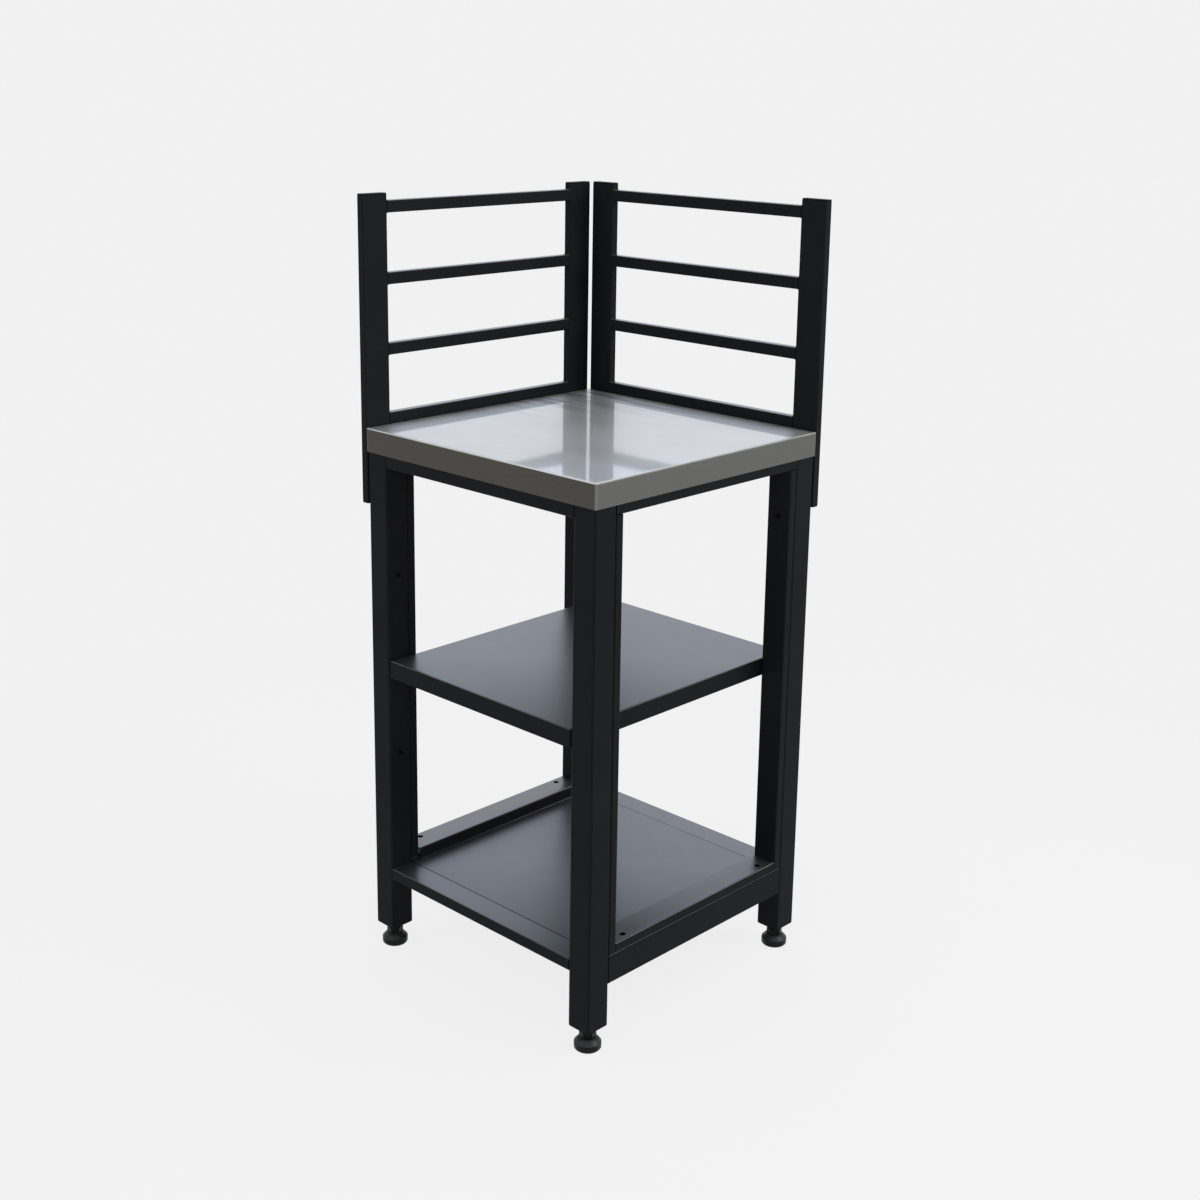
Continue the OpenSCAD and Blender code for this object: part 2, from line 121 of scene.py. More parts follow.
class Graph:
    """A node graph, with a short call for each node that is needed."""

    def __init__(self, tree: bpy.types.NodeTree) -> None:
        """Empties a node tree.

        Args:
            tree: the node tree.
        """
        self.nodes = tree.nodes
        self.links = tree.links
        self.nodes.clear()

    def node(self, kind: str, **settings: object) -> bpy.types.Node:
        """Adds a node.

        Args:
            kind: the node's type.
            settings: its settings by attribute name.

        Returns:
            The new node.
        """
        made = self.nodes.new(kind)
        for name, value in settings.items():
            setattr(made, name, value)
        return made

    def put(self, target: Socket, value: Socket | float | tuple) -> None:
        """Links a socket to the target, or writes a plain value on it.

        Args:
            target: the input socket.
            value: an output socket, a number or a colour.
        """
        if isinstance(value, bpy.types.NodeSocket):
            self.links.new(value, target)
        elif isinstance(value, tuple) and target.type == "RGBA":
            target.default_value = (*value, 1.0)
        else:
            target.default_value = value

    def calc(self, operation: str, first: Socket | float, second: Socket | float = 0.0) -> Socket:
        """One step of arithmetic.

        Args:
            operation: the Math node's operation.
            first: the first value.
            second: the second value.

        Returns:
            The result.
        """
        made = self.node("ShaderNodeMath", operation=operation)
        self.put(made.inputs[0], first)
        self.put(made.inputs[1], second)
        return made.outputs[0]

    def seen(self) -> Socket:
        """Tells the rays that show things from those that light them.

        Returns:
            1 for camera, glossy and transmission rays, and 0 for the others.
        """
        rays = self.node("ShaderNodeLightPath")
        shown = self.calc("MAXIMUM", rays.outputs["Is Camera Ray"], rays.outputs["Is Glossy Ray"])
        return self.calc("MAXIMUM", shown, rays.outputs["Is Transmission Ray"])

    def white(self, kind: str, strength: float) -> Socket:
        """A white glow.

        Args:
            kind: the node's type, for an object or for the world.
            strength: its strength.

        Returns:
            The glow.
        """
        made = self.node(kind)
        self.put(made.inputs["Color"], WHITE)
        self.put(made.inputs["Strength"], strength)
        return made.outputs[0]

    def matt(self, level: float) -> Socket:
        """A matt grey surface.

        Args:
            level: how light it is.

        Returns:
            The surface.
        """
        made = self.node("ShaderNodeBsdfDiffuse")
        self.put(made.inputs["Color"], (level, level, level))
        return made.outputs[0]

    def choice(self, share: Socket, first: Socket, second: Socket) -> Socket:
        """A mix of two shaders.

        Args:
            share: how much of the second there is.
            first: the first shader.
            second: the second shader.

        Returns:
            The mixed shader.
        """
        made = self.node("ShaderNodeMixShader")
        self.put(made.inputs[0], share)
        self.put(made.inputs[1], first)
        self.put(made.inputs[2], second)
        return made.outputs[0]

    def end(self, kind: str, surface: Socket) -> None:
        """Ends the graph.

        Args:
            kind: the output node's type.
            surface: what it shows.
        """
        self.put(self.node(kind).inputs["Surface"], surface)


class Shading(Graph):
    """The node graph of one finish."""

    def __init__(self, name: str) -> None:
        """Starts an empty material.

        Args:
            name: the material's name.
        """
        self.material = bpy.data.materials.new(name)
        self.material.use_nodes = True
        super().__init__(self.material.node_tree)
        self.place = self.node("ShaderNodeTexCoord")

    def spread(self, stretch: Place) -> Socket:
        """Object coordinates, stretched along the axes.

        Args:
            stretch: the factor on each axis.

        Returns:
            The coordinates.
        """
        if stretch == EVEN:
            return self.place.outputs["Object"]
        mapping = self.node("ShaderNodeMapping")
        self.put(mapping.inputs["Vector"], self.place.outputs["Object"])
        mapping.inputs["Scale"].default_value = stretch
        return mapping.outputs["Vector"]

    def noise(self, pattern: Pattern) -> Socket:
        """Soft noise.

        Args:
            pattern: its size and layers.

        Returns:
            The noise, about 0 to 1.
        """
        made = self.node("ShaderNodeTexNoise")
        self.put(made.inputs["Vector"], self.spread(pattern.stretch))
        made.inputs["Scale"].default_value = 1.0 / pattern.size
        made.inputs["Detail"].default_value = pattern.detail
        made.inputs["Roughness"].default_value = pattern.layering
        return made.outputs[0]

    def patches(self, pattern: Pattern, result: Range = FULL) -> Socket:
        """Noise with more contrast.

        Args:
            pattern: its size and layers, and the part of its values that is used.
            result: what the ends of that part become.

        Returns:
            The patches.
        """
        return self.span(self.noise(pattern), pattern.used, result)

    def cells(self, size: float) -> Socket:
        """Distance to scattered points.

        Args:
            size: the spacing of the points in metres.

        Returns:
            The distance in cells, 0 at each point.
        """
        made = self.node("ShaderNodeTexVoronoi")
        self.put(made.inputs["Vector"], self.place.outputs["Object"])
        made.inputs["Scale"].default_value = 1.0 / size
        return made.outputs["Distance"]

    def span(self, value: Socket, reach: Range, result: Range = FULL, shape: str = "LINEAR") -> Socket:
        """A value brought from one range to another and held inside it.

        Args:
            value: the value.
            reach: the start and end of its range.
            result: what they become.
            shape: the way between them.

        Returns:
            The value in its new range.
        """
        made = self.node("ShaderNodeMapRange", clamp=True, interpolation_type=shape)
        self.put(made.inputs["Value"], value)
        made.inputs["From Min"].default_value, made.inputs["From Max"].default_value = reach
        made.inputs["To Min"].default_value, made.inputs["To Max"].default_value = result
        return made.outputs["Result"]

    def blend(self, share: Socket, first: Socket | Colour, second: Socket | Colour) -> Socket:
        """A mix of two colours.

        Args:
            share: how much of the second there is.
            first: the first colour.
            second: the second colour.

        Returns:
            The mixed colour.
        """
        made = self.node("ShaderNodeMix", data_type="RGBA")
        self.put(made.inputs[0], share)
        self.put(made.inputs[MIX_FIRST], first)
        self.put(made.inputs[MIX_SECOND], second)
        return made.outputs[MIX_RESULT]

    def parts(self, kind: str) -> tuple[Socket, Socket, Socket]:
        """The three parts of a coordinate.

        Args:
            kind: Object for the place on the object, Normal for the surface's own direction.

        Returns:
            The parts along x, y and z.
        """
        made = self.node("ShaderNodeSeparateXYZ")
        self.put(made.inputs[0], self.place.outputs[kind])
        return made.outputs[0], made.outputs[1], made.outputs[2]

    def upward(self, reach: Range) -> Socket:
        """A mask that is 1 where the surface faces up, over a reach of the direction's upward part."""
        return self.span(self.parts("Normal")[2], reach)

    def bump(self, height: Socket, depth: float, under: Socket | None = None) -> Socket:
        """Relief on the surface.

        Args:
            height: the relief, 0 to 1.
            depth: its depth in metres.
            under: the relief that it lies on, or None.

        Returns:
            The direction of the surface with the relief.
        """
        made = self.node("ShaderNodeBump")
        made.inputs["Strength"].default_value = 1.0
        made.inputs["Distance"].default_value = depth
        self.put(made.inputs["Height"], height)
        if under is not None:
            self.put(made.inputs["Normal"], under)
        return made.outputs["Normal"]

    def surface(self, **sockets: object) -> bpy.types.Material:
        """Ends the graph with a Principled shader.

        Args:
            sockets: values or links for its sockets, with _ for each space in their names.

        Returns:
            The finished material.
        """
        shader = self.node("ShaderNodeBsdfPrincipled")
        for name, value in sockets.items():
            self.put(shader.inputs[name.replace("_", " ")], value)
        self.end("ShaderNodeOutputMaterial", shader.outputs["BSDF"])
        return self.material


@dataclass(frozen=True)
class PowderCoat:
    """Black polyester powder: orange peel over fine grain, a painted bluish reflection on faces that face up,
    and a clear film where it flowed out level.
    """

    name: str = "tube_powder_coat"
    black: Colour = (0.0078, 0.0083, 0.0096)
    faded: Colour = (0.0098, 0.0103, 0.0118)
    # painted reflection: a bluish, lighter colour for faces that face up, standing in for the mirrored sky
    painted_sky_sheen: Colour = (0.0080, 0.0106, 0.0150)
    painted_sky_sheen_light: Colour = (0.0112, 0.0142, 0.0192)
    patches: Pattern = Pattern(size=0.13, detail=3.0, used=(0.3, 0.7))
    # dust specks, scattered over the faces that don't face up
    dust_and_highlight: Colour = (0.026, 0.028, 0.031)
    dust_spacing: float = 0.011
    dust_and_highlight_reach: Range = (0.035, 0.06)
    dust_share: float = 0.2
    peel: Pattern = Pattern(size=0.0016, detail=1.0)
    peel_depth: float = 0.000020
    grain: Pattern = Pattern(size=0.00035, detail=2.0)
    grain_depth: float = 0.000004
    wave: Pattern = Pattern(size=0.16, detail=0.0)
    wave_depth: float = 0.00004
    gloss_level: float = 0.035
    rubs: Pattern = Pattern(size=0.035, detail=4.0, used=(0.35, 0.75))
    smooth: float = 0.34
    rough: float = 0.44
    level_reach: Range = (0.55, 0.9)
    flow_gloss: float = 2.42
    flow_roughness: float = 0.32
    flow_rubbed: float = 0.94
    film_reach: Range = (0.03, 0.42)  # across the sheet, from the back left to the front right
    film_share: float = 0.33  # how much of the clear film is gone at the far end
    flange_reach: Range = FULL  # from the middle outwards, where side flanges lean
    flange_fall: float = 0.0  # how far they lean, 0 for none

    def material(self) -> bpy.types.Material:
        """Makes the material.

        Returns:
            The material.
        """
        s = Shading(self.name)
        x, y, _ = s.parts("Object")
        level = s.upward(self.level_reach)
        patches = s.patches(self.patches)
        rubbed = s.patches(self.rubs)
        specks = s.span(s.cells(self.dust_spacing), self.dust_and_highlight_reach, (self.dust_share, 0.0))
        sides = s.blend(specks, s.blend(patches, self.black, self.faded), self.dust_and_highlight)
        # painted reflection: faces that face up take the bluish colour instead of the black
        top = s.blend(patches, self.painted_sky_sheen, self.painted_sky_sheen_light)
        relief = s.bump(s.noise(self.peel), self.peel_depth)
        relief = s.bump(s.noise(self.grain), self.grain_depth, relief)
        relief = s.bump(s.noise(self.wave), self.wave_depth, relief)
        if self.flange_fall > 0.0:
            lean = s.span(s.calc("ABSOLUTE", x), self.flange_reach, FALLING)
            relief = s.bump(lean, self.flange_fall, relief)
        film = s.span(s.calc("SUBTRACT", x, y), self.film_reach, (1.0, 1.0 - self.film_share))
        clear = s.calc("MULTIPLY", level, s.span(rubbed, FULL, (1.0, self.flow_rubbed)))
        return s.surface(
            Base_Color=s.blend(level, sides, top),
            Roughness=s.span(rubbed, FULL, (self.rough, self.smooth)),
            Specular_IOR_Level=self.gloss_level,
            Coat_Weight=s.calc("MULTIPLY", clear, film),
            Coat_Roughness=self.flow_roughness,
            Coat_IOR=self.flow_gloss,
            Normal=relief,
            Coat_Normal=relief,
        )


@dataclass(frozen=True)
class WorktopSteel:
    """Stainless sheet: a wide soft sheen with fine grain, a mirror at glancing angles, and painted shade on
    the lips and beside the guards.
    """

    name: str = "worktop_stainless"
    top: Colour = (0.665, 0.675, 0.680)
    top_deep: Colour = (0.600, 0.608, 0.612)
    patches: Pattern = Pattern(size=0.12, detail=4.0, used=(0.3, 0.7))
    smoke: Colour = (0.20, 0.205, 0.23)
    streaks: Pattern = Pattern(size=0.022, detail=1.0, used=(0.44, 0.62), stretch=(0.10, 1.0, 1.0))
    smoke_reach: Range = (0.08, 0.40)  # from the back left corner
    smoke_clear: float = 0.40  # how much of the mirror the smoke takes
    # painted shade: a darker strip beside the guards, where their shadow and dark reflection fall
    guard_shade: Colour = (0.22, 0.225, 0.24)
    guard_shade_reach: Range = (0.003, 0.020)  # painted shade, reaching from the edges along the guards
    guard_shade_share: float = 0.45
    # painted shade: the lips are coloured dark, standing in for the dark surroundings they mirror; the right
    # lip is painted lighter, as if lit from the right
    shaded_lip: Colour = (0.066, 0.061, 0.052)
    shaded_lip_pale: Colour = (0.084, 0.080, 0.071)
    lit_side_lip: Colour = (0.118, 0.119, 0.114)
    lit_side_lip_pale: Colour = (0.138, 0.139, 0.135)
    lit_side_reach: Range = (0.3, 0.7)
    weld: Colour = (0.24, 0.24, 0.235)
    weld_reach: float = 0.0035
    flat_reach: Range = (0.3, 0.6)
    edge_lean: float = 0.40  # how much sooner the right edge's bend takes the lips' painted-shade colour
    grain: Pattern = Pattern(size=0.00022, detail=3.0, stretch=(0.012, 1.0, 1.0), layering=0.6)
    grain_depth: float = 0.0000035
    strand_reach: Range = (0.3, 0.7)
    wave: Pattern = Pattern(size=0.19, detail=0.0)
    wave_depth: float = 0.00018
    wipes: Pattern = Pattern(size=0.05, detail=5.0, used=(0.4, 0.8), stretch=(0.25, 1.0, 1.0))
    sheen: Range = (0.42, 0.50)
    mirror_gloss: float = 1.47
    mirror_roughness: float = 0.06
    metal_share: float = 0.87

    def near_end(self, s: Shading, place: Socket, low: float, high: float) -> Socket:
        """A mask that rises towards both ends of an axis.

        Args:
            s: the graph.
            place: the place on the axis.
            low: where the worktop starts.
            high: where it ends.

        Returns:
            1 at the ends and 0 beyond the weld's reach.
        """
        half = (high - low) / 2
        from_middle = s.calc("ABSOLUTE", s.calc("SUBTRACT", place, (low + high) / 2))
        return s.span(from_middle, (half - self.weld_reach, half))

    def top_colour(self, s: Shading, smoke: Socket, from_left: Socket, from_back: Socket) -> Socket:
        """The colour of the top face.

        Args:
            s: the graph.
            smoke: the mask of the smoke.
            from_left: the distance from the left edge.
            from_back: the distance from the back edge.

        Returns:
            The colour.
        """
        clean = s.blend(s.patches(self.patches), self.top, self.top_deep)
        from_guard = s.calc("MINIMUM", from_left, from_back)
        # painted shade next to the guards
        guard_shaded = s.span(from_guard, self.guard_shade_reach, (self.guard_shade_share, 0.0))
        return s.blend(guard_shaded, s.blend(smoke, clean, self.smoke), self.guard_shade)

    def material(self, low: Vector, high: Vector) -> bpy.types.Material:
        """Makes the material.

        Args:
            low: the worktop's lowest corner.
            high: its highest corner.

        Returns:
            The material.
        """
        s = Shading(self.name)
        x, y, _ = s.parts("Object")
        from_left = s.calc("SUBTRACT", x, low.x)
        from_back = s.calc("SUBTRACT", high.y, y)
        facing_x, _, facing_z = s.parts("Normal")
        rightward = s.calc("MAXIMUM", facing_x, 0.0)
        lean = s.calc("MULTIPLY", rightward, self.edge_lean)
        flat = s.span(s.calc("SUBTRACT", facing_z, lean), self.flat_reach)
        corner = s.span(s.calc("ADD", from_left, from_back), self.smoke_reach, FALLING)
        smoke = s.calc("MULTIPLY", s.patches(self.streaks), corner)
        top = self.top_colour(s, smoke, from_left, from_back)
        grain = s.noise(self.grain)
        strands = s.span(grain, self.strand_reach)
        # painted shade on the front lip, painted light on the right lip
        shaded_front_lip = s.blend(strands, self.shaded_lip, self.shaded_lip_pale)
        lit_side_lip = s.blend(strands, self.lit_side_lip, self.lit_side_lip_pale)
        shaded_lip = s.blend(s.span(rightward, self.lit_side_reach), shaded_front_lip, lit_side_lip)
        near_x = self.near_end(s, x, low.x, high.x)
        near_y = self.near_end(s, y, low.y, high.y)
        shaded_lip = s.blend(s.calc("MULTIPLY", near_x, near_y), shaded_lip, self.weld)
        wave = s.noise(self.wave)
        unsmoked = s.span(smoke, FULL, (1.0, 1.0 - self.smoke_clear))
        return s.surface(
            Base_Color=s.blend(flat, shaded_lip, top),
            Metallic=self.metal_share,
            Roughness=s.span(s.patches(self.wipes), FULL, self.sheen),
            Coat_Weight=s.calc("MULTIPLY", flat, unsmoked),
            Coat_Roughness=self.mirror_roughness,
            Coat_IOR=self.mirror_gloss,
            Normal=s.bump(wave, self.wave_depth, s.bump(grain, self.grain_depth)),
            Coat_Normal=s.bump(wave, self.wave_depth),
        )


@dataclass(frozen=True)
class PlyBoard:
    """Waterproof ply under the worktop: sawn face grain and stacked veneers at the edges."""

    name: str = "ply_core"
    pale: Colour = (0.42, 0.28, 0.155)
    dark: Colour = (0.23, 0.135, 0.068)
    veneer: float = 0.0014
    fibres: Pattern = Pattern(
        size=0.004, detail=6.0, used=(0.3, 0.7), stretch=(0.05, 1.0, 1.0), layering=0.65
    )
    fibre_depth: float = 0.00006
    face_reach: Range = (0.3, 0.7)
    sheen: Range = (0.62, 0.8)
    gloss_level: float = 0.3

    def material(self) -> bpy.types.Material:
        """Makes the material.

        Returns:
            The material.
        """
        s = Shading(self.name)
        fibres = s.noise(self.fibres)
        layer = s.calc("PINGPONG", s.parts("Object")[2], self.veneer)
        edge = s.blend(s.span(layer, (0.0, self.veneer)), self.dark, self.pale)
        face = s.blend(s.span(fibres, self.fibres.used), self.pale, self.dark)
        level = s.span(s.calc("ABSOLUTE", s.parts("Normal")[2]), self.face_reach)
        return s.surface(
            Base_Color=s.blend(level, edge, face),
            Roughness=s.span(fibres, self.fibres.used, self.sheen),
            Specular_IOR_Level=self.gloss_level,
            Normal=s.bump(fibres, self.fibre_depth),
        )


@dataclass(frozen=True)
class PlatedSteel:
    """Plated steel on bolts, washers, inserts and studs: darker in patches, dull where it was handled."""

    name: str = "zinc_plate"
    bright: Colour = (0.52, 0.53, 0.54)
    dull: Colour = (0.34, 0.34, 0.35)
    stains: Pattern = Pattern(size=0.007, detail=4.0, used=(0.35, 0.75))
    spangle: float = 0.0021
    spangle_reach: Range = (0.1, 0.9)
    smooth: float = 0.26
    rough: float = 0.42
    pits: Pattern = Pattern(size=0.0006, detail=3.0)
    pit_depth: float = 0.000012

    def material(self) -> bpy.types.Material:
        """Makes the material.

        Returns:
            The material.
        """
        s = Shading(self.name)
        spangles = s.cells(self.spangle)
        return s.surface(
            Base_Color=s.blend(s.patches(self.stains), self.bright, self.dull),
            Metallic=1.0,
            Roughness=s.span(spangles, self.spangle_reach, (self.smooth, self.rough)),
            Normal=s.bump(s.noise(self.pits), self.pit_depth),
        )


@dataclass(frozen=True)
class Nylon:
    """Injection-moulded black nylon: a soft gloss over a fine moulded grain, with a painted highlight where
    it faces up.
    """

    name: str = "moulded_nylon"
    black: Colour = (0.0040, 0.0045, 0.0047)
    scuffed: Colour = (0.009, 0.010, 0.010)
    scuffs: Pattern = Pattern(size=0.006, detail=5.0, used=(0.55, 0.85))
    # painted highlight: a paler colour on faces that face up, such as the foot's crown
    dust_and_highlight: Colour = (0.030, 0.035, 0.035)
    dust_and_highlight_reach: Range = (0.2, 0.75)
    grain: Pattern = Pattern(size=0.0005, detail=2.0)
    grain_depth: float = 0.000008
    wear: Pattern = Pattern(size=0.011, detail=3.0, used=(0.3, 0.7))
    smooth: float = 0.27
    rough: float = 0.40
    gloss_level: float = 0.14

    def material(self) -> bpy.types.Material:
        """Makes the material.

        Returns:
            The material.
        """
        s = Shading(self.name)
        clean = s.blend(s.patches(self.scuffs), self.black, self.scuffed)
        # faces that face up take the painted highlight
        return s.surface(
            Base_Color=s.blend(s.upward(self.dust_and_highlight_reach), clean, self.dust_and_highlight),
            Roughness=s.patches(self.wear, (self.smooth, self.rough)),
            Specular_IOR_Level=self.gloss_level,
            Normal=s.bump(s.noise(self.grain), self.grain_depth),
        )


TUBE_COAT = PowderCoat()
SHEET_COAT = replace(
    TUBE_COAT,
    name="sheet_powder_coat",
    peel=Pattern(size=0.0026, detail=1.0),
    peel_depth=0.000012,
    grain_depth=0.0,
    wave_depth=0.00030,
)
TRAY_COAT = replace(
    SHEET_COAT,
    name="tray_powder_coat",
    flow_roughness=0.35,
    film_share=0.36,
    flange_reach=(0.218, 0.262),
    flange_fall=0.0024,
)
BLACK_ZINC = PlatedSteel(
    name="black_zinc", bright=(0.012, 0.012, 0.013), dull=(0.006, 0.006, 0.007), smooth=0.36, rough=0.52
)
MATT_PLASTIC = Nylon(name="matt_plastic", smooth=0.5, rough=0.62, gloss_level=0.05)


def worktop_steel() -> bpy.types.Material:
    """The worktop's finish, placed on the worktop's own box."""
    return WorktopSteel().material(*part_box("worktop_sheet"))


@dataclass
class Finishes:
    """All the finishes of the module, made once and shared."""

    tube: bpy.types.Material = field(default_factory=TUBE_COAT.material)
    sheet: bpy.types.Material = field(default_factory=SHEET_COAT.material)
    tray: bpy.types.Material = field(default_factory=TRAY_COAT.material)
    steel: bpy.types.Material = field(default_factory=worktop_steel)
    board: bpy.types.Material = field(default_factory=PlyBoard().material)
    zinc: bpy.types.Material = field(default_factory=PlatedSteel().material)
    stud: bpy.types.Material = field(default_factory=BLACK_ZINC.material)
    foot: bpy.types.Material = field(default_factory=Nylon().material)
    trim: bpy.types.Material = field(default_factory=MATT_PLASTIC.material)


def dress(material: bpy.types.Material, *names: str) -> None:
    """Gives CAD nodes their finish.

    Args:
        material: the finish.
        names: the nodes.
    """
    for name in names:
        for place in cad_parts[name].material_slots:
            place.material = material
        log.info("dressed %s in %s", name, material.name)


def finished_piece(
    name: str, mesh: Mesh, material: bpy.types.Material, body: str, sharp: float = 35.0
) -> bpy.types.Object:
    """Turns a mesh in progress into a piece that rides on a body.

    Args:
        name: the piece's name.
        mesh: the mesh, in the row frame; it is freed.
        material: its finish.
        body: the body that it rides on.
        sharp: edges that turn by more than this many degrees stay sharp.

    Returns:
        The piece.
    """
    bmesh.ops.remove_doubles(mesh, verts=mesh.verts, dist=MERGE_DISTANCE)
    bmesh.ops.recalc_face_normals(mesh, faces=mesh.faces)
    data = bpy.data.meshes.new(name)
    mesh.to_mesh(data)
    mesh.free()
    data.shade_smooth()
    data.set_sharp_from_angle(angle=math.radians(sharp))
    data.materials.append(material)
    piece = bpy.data.objects.new(name, data)
    bpy.context.scene.collection.objects.link(piece)
    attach(piece, body)
    log.info("made %s with %d faces on %s", name, len(data.polygons), body)
    return piece


def join(mesh: Mesh, block: Mesh) -> None:
    """Puts one mesh in progress into another.

    Args:
        mesh: the mesh that receives the other.
        block: the other mesh; it is freed.
    """
    data = bpy.data.meshes.new("block")
    block.to_mesh(data)
    block.free()
    mesh.from_mesh(data)
    bpy.data.meshes.remove(data)


def moved(mesh: Mesh, grown: Parts, way: Place) -> None:
    """Moves the vertices among new elements.

    Args:
        mesh: the mesh.
        grown: the new elements.
        way: how far they go.
    """
    verts = [item for item in grown if isinstance(item, bmesh.types.BMVert)]
    bmesh.ops.translate(mesh, verts=verts, vec=way)


def raised(mesh: Mesh, faces: list[bmesh.types.BMFace], height: float) -> None:
    """Extrudes faces straight up.

    Args:
        mesh: the mesh.
        faces: the faces.
        height: how far they go.
    """
    grown = bmesh.ops.extrude_face_region(mesh, geom=faces)["geom"]
    moved(mesh, grown, (0.0, 0.0, height))


def rounded(
    mesh: Mesh, geom: Parts, radius: float, steps: int, affect: str = "VERTICES", clamp: bool = False
) -> None:
    """Rounds corners or edges.

    Args:
        mesh: the mesh.
        geom: the corners or edges.
        radius: the radius.
        steps: the faces along the rounding.
        affect: whether corners or edges are rounded.
        clamp: whether neighbouring roundings are kept from crossing.
    """
    bmesh.ops.bevel(
        mesh,
        geom=geom,
        offset=radius,
        affect=affect,
        segments=steps,
        profile=ROUND_PROFILE,
        material=-1,
        clamp_overlap=clamp,
    )


@dataclass
class LevellingFoot:
    """A levelling foot under one leg: a moulded foot, and a threaded stud that turns in it."""

    corner: Corner
    heel_inset: float = 0.0022
    heel_rise: float = 0.0026
    side_height: float = 0.0120
    crown_inset: float = 0.0056
    crown_height: float = 0.0178
    collar_radius: float = 0.0140
    collar_spread: float = 0.0006
    collar_foot: float = 0.0182
    socket_radius: float = 0.0086
    socket_floor: float = 0.0060
    sole_recess: float = 0.0008
    sole_rim: float = 0.0140
    corner_rounding: float = 0.0024
    rounding_steps: int = 5
    round_steps: int = 96
    thread_radius: float = 0.0080
    thread_pitch: float = 0.0020
    thread_depth: float = 0.0011
    thread_crest: float = 0.0004
    thread_steps: int = 36
    thread_run_in: float = 1.5  # turns below the lower end, cut off again
    thread_spare: int = 2  # turns beyond the length, cut off again
    hexagon_gap: float = 0.0003
    hexagon_height: float = 0.0120
    hexagon_flats: float = 0.0240
    hexagon_chamfer: float = 0.0013
    hexagon_slope: float = 30.0
    hexagon_sides: int = 6
    hexagon_steps: int = 12

    def base_body(self) -> str:
        """The body of the moulded foot."""
        return f"base_{self.corner.value}"

    def screw_body(self) -> str:
        """The body of the stud."""
        return f"screw_{self.corner.value}"

    def build(self, finishes: Finishes) -> None:
        """Makes both pieces.

        Args:
            finishes: the shared finishes.
        """
        self.moulded_foot(finishes.foot)
        self.threaded_stud(finishes.stud)

    def turned(self, profile: list[tuple[float, float]], centre: Vector) -> Mesh:
        """Spins a rounded profile round the upright axis.

        Args:
            profile: radius and height of each point, from the bottom up.
            centre: the axis' place on the floor.

        Returns:
            The turned mesh.
        """
        mesh = bmesh.new()
        points = [mesh.verts.new((radius, 0.0, height)) for radius, height in profile]
        for pair in zip(points, points[1:]):
            mesh.edges.new(pair)
        rounded(mesh, points[1:-1], self.corner_rounding, self.rounding_steps, clamp=True)
        bmesh.ops.spin(
            mesh,
            geom=mesh.verts[:] + mesh.edges[:],
            cent=ORIGIN,
            axis=UP,
            angle=math.tau,
            steps=self.round_steps,
            use_merge=True,
        )
        bmesh.ops.translate(mesh, verts=mesh.verts, vec=(centre.x, centre.y, 0.0))
        return mesh

    def moulded_foot(self, material: bpy.types.Material) -> None:
        """The nylon foot: a bulged disc with a rounded shoulder, a collar and a recessed sole.

        Args:
            material: the foot's finish.
        """
        name = f"foot_{self.corner.value}"
        low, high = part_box(name)
        side = (high.x - low.x) / 2
        profile = [
            (0.0, self.sole_recess),
            (self.sole_rim, self.sole_recess),
            (self.sole_rim + self.sole_recess, 0.0),
            (side - self.heel_inset, 0.0),
            (side, self.heel_rise),
            (side, self.side_height),
            (side - self.crown_inset, self.crown_height),
            (self.collar_radius + self.collar_spread, self.collar_foot),
            (self.collar_radius, high.z),
            (self.socket_radius, high.z),
            (self.socket_radius, self.socket_floor),
            (0.0, self.socket_floor),
        ]
        mesh = self.turned(profile, (low + high) / 2)
        foot = finished_piece(f"moulded_{name}", mesh, material, self.base_body())
        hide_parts(name)

    def threaded_stud(self, material: bpy.types.Material) -> None:
        """The stud: a rolled thread and the hexagon that a spanner turns.

        Args:
            material: the stud's finish.
        """
        name = f"stud_{self.corner.value}"
        low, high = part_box(name)
        mesh = self.thread(low.z, high.z)
        self.hexagon(mesh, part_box(f"foot_{self.corner.value}")[1].z + self.hexagon_gap)
        bmesh.ops.translate(mesh, verts=mesh.verts, vec=((low.x + high.x) / 2, (low.y + high.y) / 2, 0.0))
        stud = finished_piece(f"threaded_{name}", mesh, material, self.screw_body())
        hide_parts(name)

    def thread(self, bottom: float, top: float) -> Mesh:
        """A right-hand thread cut off square at both ends.

        Args:
            bottom: the height of its lower end.
            top: the height of its upper end.

        Returns:
            The closed thread, round the upright axis.
        """
        root_radius = self.thread_radius - self.thread_depth
        flank = (self.thread_pitch - 2 * self.thread_crest) / 2
        turns = math.ceil((top - bottom) / self.thread_pitch) + self.thread_spare
        start = bottom - self.thread_run_in * self.thread_pitch
        profile = [
            (root_radius, 0.0),
            (root_radius, self.thread_crest),
            (self.thread_radius, self.thread_crest + flank),
            (self.thread_radius, 2 * self.thread_crest + flank),
            (root_radius, self.thread_pitch),
        ]
        mesh = bmesh.new()
        points = [mesh.verts.new((radius, 0.0, start + height)) for radius, height in profile]
        edges = [mesh.edges.new(pair) for pair in zip(points, points[1:])]
        bmesh.ops.spin(
            mesh,
            geom=points + edges,
            cent=ORIGIN,
            axis=UP,
            dvec=(0.0, 0.0, self.thread_pitch / self.thread_steps),
            angle=math.tau,
            steps=self.thread_steps,
            use_merge=False,
        )
        made = 1
        while made < turns:
            copies = bmesh.ops.duplicate(mesh, geom=mesh.verts[:] + mesh.edges[:] + mesh.faces[:])["geom"]
            moved(mesh, copies, (0.0, 0.0, self.thread_pitch * made))
            made *= 2
        bmesh.ops.remove_doubles(mesh, verts=mesh.verts, dist=THREAD_MERGE_DISTANCE)
        self.cut_off(mesh, bottom, -1.0)
        self.cut_off(mesh, top, 1.0)
        return mesh

